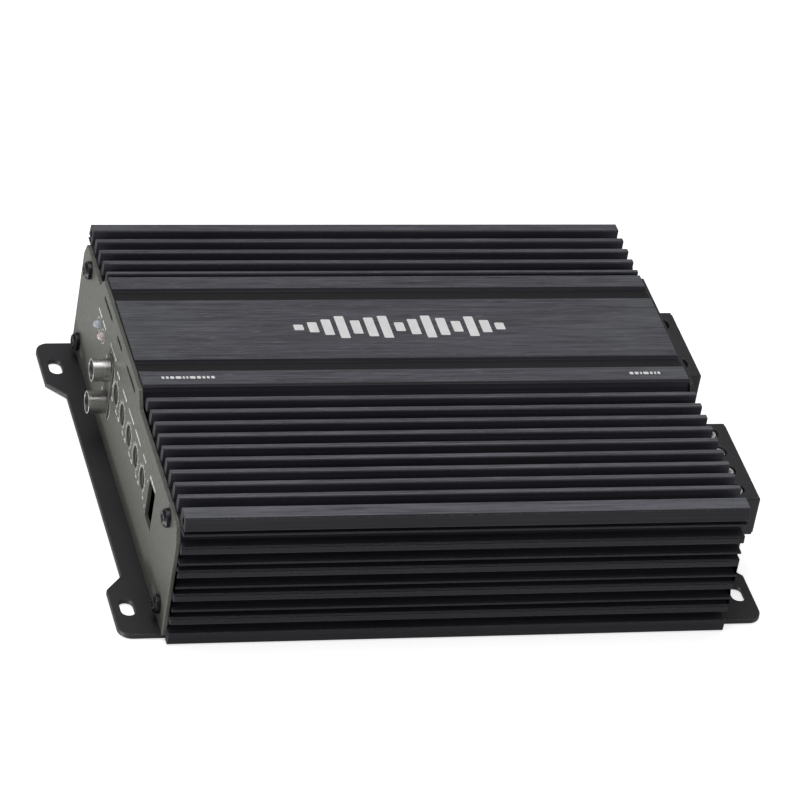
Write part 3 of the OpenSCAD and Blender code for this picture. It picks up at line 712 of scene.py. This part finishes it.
control = []
for i, (n, seed, half) in enumerate((("gain_knob", 11, 2.6), ("low_pass_knob", 12, 3.6), ("subsonic_knob", 13, 4.6), ("bass_boost_knob", 14, 4.8), ("phase_knob", 15, 2.4))):
    lo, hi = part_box(n)
    cy, cz = (lo.y + hi.y) / 2 / MM, (lo.z + hi.z) / 2 / MM
    control.append(arc_band(cy, cz, 4.35, 4.62, -52, 232, 56))
    for a in range(-50, 231, 28):
        big = a in (-50, 90, 230)
        control.append(tick(cy, cz, 4.95, 5.95 if big else 5.45, a, 0.3))
    control += dashes(cy - half, cy + half, 37.2, 1.15, seed)
    control += dashes(cy - 5.3, cy - 2.9, 23.9, 0.9, seed + 20, 0.4)
    control += dashes(cy + 2.9, cy + 5.3, 23.9, 0.9, seed + 40, 0.4)
ph_lo, ph_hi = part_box("phono_shells")
pyc = (ph_lo.y + ph_hi.y) / 2 / MM
for z in (31.7, 17.7):
    control.append(arc_band(pyc, z, 6.1, 6.4, -72, 72, 40))
    control.append(arc_band(pyc, z, 6.1, 6.4, 108, 252, 40))
control += dashes(pyc - 5.5, pyc + 5.5, 39.4, 1.2, 71)
control += [pill(pyc + 8.3, 31.7, 1.5, 0.4), pill(pyc + 8.3, 17.7, 1.5, 0.4), pill(pyc + 8.3, 17.7, 0.4, 1.5)]
for n, seed in (("power_led", 81), ("protect_led", 82)):
    lo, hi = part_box(n)
    cy = (lo.y + hi.y) / 2 / MM
    control.append(arc_band(cy, 34.0, 2.5, 2.75, 0, 179.9, 32))
    control.append(arc_band(cy, 34.0, 2.5, 2.75, 180, 359.9, 32))
    control += dashes(cy - 2.9, cy + 2.9, 38.9, 1.1, seed)
sk_lo, sk_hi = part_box("signal_pins")
sy, sz = (sk_lo.y + sk_hi.y) / 2 / MM, (sk_lo.z + sk_hi.z) / 2 / MM
control += dashes(sy - 4.6, sy + 4.6, 37.3, 1.15, 91)
control += [pill(sy + 6.6, 33.6, 0.5, 1.2, 0.1), pill(sy + 6.6, 22.9, 0.5, 1.2, 0.1)]
printed("control_panel_print", control, on_control)

# --------------------------------------------------------------------------
# print on the terminal panel
# --------------------------------------------------------------------------
tp_lo, tp_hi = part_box("terminal_end_panel")
TX = tp_hi.x / MM


def on_terminal(a, b, h):
    return ((TX + h) * MM, a * MM, b * MM)


term = []
for k in (1, 2, 3, 4):
    lo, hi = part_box(f"speaker_screw_{k}")
    cy = (lo.y + hi.y) / 2 / MM
    term.append(pill(cy, 22.2, 2.2, 0.5, 0.1))
    if k in (1, 4):
        term.append(pill(cy, 22.2, 0.5, 2.2, 0.1))
for n in ("battery_screw", "remote_screw", "ground_screw"):
    lo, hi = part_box(n)
    cy = (lo.y + hi.y) / 2 / MM
    if n == "battery_screw":
        term += [pill(cy, 22.2, 2.4, 0.5, 0.1), pill(cy, 22.2, 0.5, 2.4, 0.1)]
    elif n == "ground_screw":
        term += [pill(cy, 23.2, 3.0, 0.45, 0.1), pill(cy, 22.2, 2.0, 0.45, 0.1), pill(cy, 21.2, 1.0, 0.45, 0.1), pill(cy, 24.2, 0.45, 2.0, 0.1)]
    else:
        term.append(arc_band(cy, 22.2, 0.8, 1.1, -240, 60, 24))
        term.append(pill(cy, 23.2, 0.4, 1.3, 0.1))
fh_lo, fh_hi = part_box("fuse_holder")
fyc = (fh_lo.y + fh_hi.y) / 2 / MM
term += dashes(fyc - 6.5, fyc + 6.5, 10.6, 1.2, 101)
term += dashes(-64, -23, 42.0, 1.1, 103)
term += dashes(12, 45, 42.0, 1.1, 104)
term += [pill(-43.5, 18.6, 44, 0.3, 0.1), pill(28.6, 18.6, 38, 0.3, 0.1)]
printed("terminal_panel_print", term, on_terminal)

# --------------------------------------------------------------------------
# floor, light, world
# --------------------------------------------------------------------------
me = bpy.data.meshes.new("floor")
me.from_pydata([(-12, -12, -0.0002), (12, -12, -0.0002), (12, 12, -0.0002), (-12, 12, -0.0002)], [], [(0, 1, 2, 3)])
fm = Mat("pale_floor", (0.86, 0.86, 0.86), 0.9)
fm.b.inputs["Emission Color"].default_value = (1, 1, 1, 1)
seen = fm.t.nodes.new("ShaderNodeLightPath").outputs["Is Camera Ray"]
fm.put(fm.b.inputs["Emission Strength"], fm.rng(seen, 0, 1, 0.10, 0.62))
fm.b.inputs["Specular IOR Level"].default_value = 0.1
floor = bpy.data.objects.new("floor", me)
SC.collection.objects.link(floor)
me.materials.append(fm.m)
floor.visible_shadow = False
floor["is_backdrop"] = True

world = bpy.data.worlds.new("studio")
SC.world = world
world.use_nodes = True
bg = world.node_tree.nodes.get("Background") or world.node_tree.nodes.new("ShaderNodeBackground")
bg.inputs[0].default_value = (1.0, 1.0, 1.0, 1)
bg.inputs[1].default_value = 0.20


def area(name, loc, target, size, power, color=(1, 1, 1), shape="RECTANGLE", size_y=None):
    d = bpy.data.lights.new(name, "AREA")
    d.shape = shape
    d.size = size
    d.size_y = size_y or size
    d.energy = power
    d.color = color
    o = bpy.data.objects.new(name, d)
    SC.collection.objects.link(o)
    v = Vector(target) - Vector(loc)
    o.rotation_euler = v.to_track_quat("-Z", "Y").to_euler()
    o.location = loc
    return o


area("key_top", (-0.25, 0.10, 2.2), (0, 0, 0.03), 1.9, 30, (1.0, 0.99, 1.0), size_y=1.5)
area("back_strip", (0.3, 2.0, 1.5), (0, 0.05, 0.04), 1.8, 0.8, (0.98, 0.99, 1.0), size_y=0.35)
area("low_left", (-1.6, -0.25, -1.08), (-0.1, 0, 0.03), 0.42, 15, (1.0, 1.0, 0.97), size_y=0.30)
area("fill_left", (-2.1, -0.9, 0.9), (-0.1, 0, 0.03), 1.1, 2.6, (1.0, 1.0, 0.98), size_y=0.9)
area("fill_front", (0.3, -2.4, 1.1), (0, 0, 0.03), 1.4, 2.6, (1, 1, 1), size_y=0.7)

SC.view_settings.view_transform = "Standard"
SC.view_settings.look = "None"
SC.view_settings.exposure = 0.0
SC.view_settings.gamma = 1.0

lo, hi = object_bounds()
